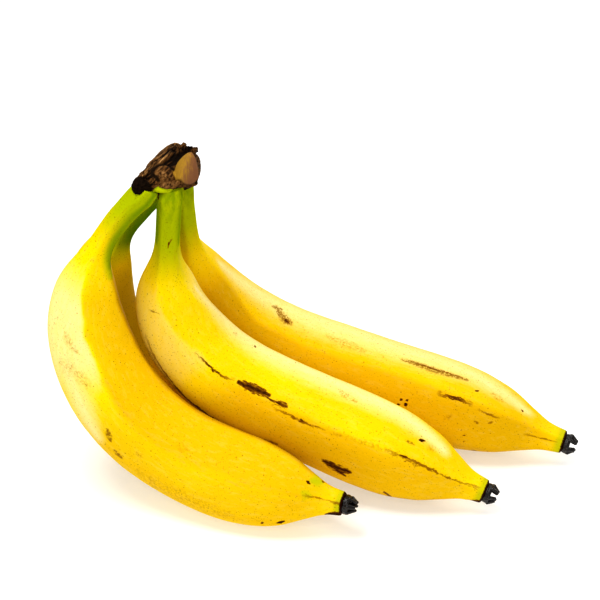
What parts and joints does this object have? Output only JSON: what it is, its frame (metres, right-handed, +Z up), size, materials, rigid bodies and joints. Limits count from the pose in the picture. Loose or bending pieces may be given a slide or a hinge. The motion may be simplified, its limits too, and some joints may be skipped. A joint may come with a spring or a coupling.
{
  "type": "hand of bananas",
  "caption": "Ripe yellow bananas joined at a dry woody crown, with ridged bodies, slim green necks and black blossom ends, lying as they rest on a table.",
  "frame": {"origin": "on the table, under the middle of the hand's box", "axes": "+Z up, +X the way the tips point, -Y the front of the hand"},
  "size_m": [0.2078, 0.1186, 0.1539],
  "materials": {
    "peel": "satin, waxy ripe peel",
    "blossom_end": "dry, nearly black",
    "crown": "dry and fibrous"
  },
  "bodies": {
    "root": {"finger_front": "peel", "finger_middle": "peel", "finger_back": "peel", "finger_inner": "peel", "blossom_end_front": "blossom_end", "blossom_end_middle": "blossom_end", "blossom_end_back": "blossom_end", "blossom_end_inner": "blossom_end", "crown": "crown"}
  },
  "joints": []
}
